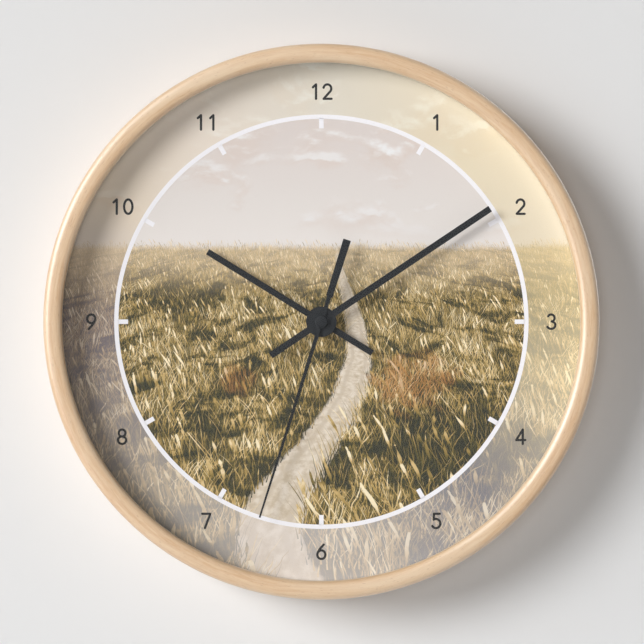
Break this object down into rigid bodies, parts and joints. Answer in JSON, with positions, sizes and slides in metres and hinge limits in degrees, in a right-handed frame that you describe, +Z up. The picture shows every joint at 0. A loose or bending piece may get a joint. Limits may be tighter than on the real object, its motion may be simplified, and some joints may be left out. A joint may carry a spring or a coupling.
{
  "type": "wall clock",
  "caption": "Round wall clock: a wood ring with a clear lens over a printed dial, bar hands, and a battery quartz movement that hangs from a keyhole bracket.",
  "frame": {"origin": "where the nail bears at the top of the hanger's slot, on the wall plane", "axes": "+Z up, +Y into the wall, so the dial faces -Y and +X is to the right of someone who reads the clock"},
  "size_m": [0.254, 0.04, 0.254],
  "materials": {
    "light_wood": "satin",
    "clear_acrylic": "clear",
    "white_plastic": "matte",
    "printed_paper": "matte print",
    "hardboard": "matte",
    "zinc_steel": "satin zinc",
    "black_rubber": "matte",
    "brass": "satin",
    "nickel": "satin nickel",
    "charcoal_enamel": "matte charcoal enamel",
    "black_plastic": "fine matte",
    "battery_jacket": "satin",
    "white_acetal": "satin",
    "amber_acetal": "satin",
    "dark_ferrite": "matte",
    "circuit_laminate": "satin",
    "black_epoxy": "gloss",
    "copper_wire": "gloss enamel",
    "soft_iron": "satin"
  },
  "bodies": {
    "clock": {"frame_ring": "light_wood", "lens": "clear_acrylic", "spacer_ring": "white_plastic", "dial_print": "printed_paper", "dial_board": "hardboard", "retaining_clip_1": "zinc_steel", "retaining_clip_2": "zinc_steel", "retaining_clip_3": "zinc_steel", "retaining_clip_4": "zinc_steel", "clip_screw_1": "nickel", "clip_screw_2": "nickel", "clip_screw_3": "nickel", "clip_screw_4": "nickel", "hanger_bracket": "zinc_steel", "rubber_washer": "black_rubber", "brass_washer": "brass", "hex_nut": "nickel", "threaded_bushing": "brass", "front_case": "black_plastic", "back_case": "black_plastic", "positive_contact": "nickel", "negative_contact": "nickel", "circuit_board": "circuit_laminate", "chip": "black_epoxy", "crystal": "nickel", "coil_bobbin": "white_acetal", "coil_winding": "copper_wire", "coil_core": "soft_iron", "stator": "soft_iron"},
    "seconds": {"seconds_wheel": "white_acetal", "second_hand": "charcoal_enamel", "second_hand_hub": "charcoal_enamel"},
    "rotor": {"rotor_pinion": "white_acetal", "rotor_magnet": "dark_ferrite"},
    "step": {"step_wheel": "white_acetal"},
    "third": {"third_wheel": "amber_acetal"},
    "centre": {"centre_wheel": "amber_acetal"},
    "minutes": {"centre_arbor": "brass", "minute_hand": "charcoal_enamel", "minute_hand_collet": "brass"},
    "motion": {"minute_wheel": "white_acetal"},
    "hours": {"hour_wheel": "white_acetal", "hour_hand": "charcoal_enamel", "hour_hand_collet": "brass"},
    "knob": {"setting_knob": "black_plastic"},
    "cell": {"battery": "battery_jacket"}
  },
  "joints": [
    {"name": "second_hand_turn", "type": "hinge", "parent": "clock", "child": "seconds", "pos_m": [0, 0, -0.04269], "axis": [0, 1, 0], "continuous": true},
    {"name": "rotor_turn", "type": "hinge", "parent": "clock", "child": "rotor", "pos_m": [-0.01089, 0, -0.03195], "axis": [0, 1, 0], "continuous": true},
    {"name": "step_wheel_turn", "type": "hinge", "parent": "clock", "child": "step", "pos_m": [-0.00883, 0, -0.03759], "axis": [0, 1, 0], "continuous": true},
    {"name": "third_wheel_turn", "type": "hinge", "parent": "clock", "child": "third", "pos_m": [0.0051, 0, -0.03386], "axis": [0, 1, 0], "continuous": true},
    {"name": "centre_wheel_turn", "type": "hinge", "parent": "clock", "child": "centre", "pos_m": [0, 0, -0.04269], "axis": [0, 1, 0], "continuous": true},
    {"name": "minute_hand_turn", "type": "hinge", "parent": "clock", "child": "minutes", "pos_m": [0, 0, -0.04269], "axis": [0, 1, 0], "continuous": true},
    {"name": "minute_wheel_turn", "type": "hinge", "parent": "clock", "child": "motion", "pos_m": [0.00846, 0, -0.04577], "axis": [0, 1, 0], "continuous": true},
    {"name": "hour_hand_turn", "type": "hinge", "parent": "clock", "child": "hours", "pos_m": [0, 0, -0.04269], "axis": [0, 1, 0], "continuous": true},
    {"name": "setting_knob_turn", "type": "hinge", "parent": "clock", "child": "knob", "pos_m": [0.01691, 0, -0.04269], "axis": [0, 1, 0], "continuous": true},
    {"name": "battery_slide", "type": "slide", "parent": "clock", "child": "cell", "axis": [0, 1, 0], "range_m": [0, 0.025]}
  ],
  "couplings": [
    {"joint": "rotor_turn", "follows": "second_hand_turn", "ratio": 30},
    {"joint": "step_wheel_turn", "follows": "second_hand_turn", "ratio": -7.5},
    {"joint": "third_wheel_turn", "follows": "second_hand_turn", "ratio": -0.13333},
    {"joint": "centre_wheel_turn", "follows": "second_hand_turn", "ratio": 0.016667},
    {"joint": "minute_wheel_turn", "follows": "minute_hand_turn", "ratio": -0.33333},
    {"joint": "hour_hand_turn", "follows": "minute_hand_turn", "ratio": 0.083333},
    {"joint": "setting_knob_turn", "follows": "minute_hand_turn", "ratio": 1}
  ]
}
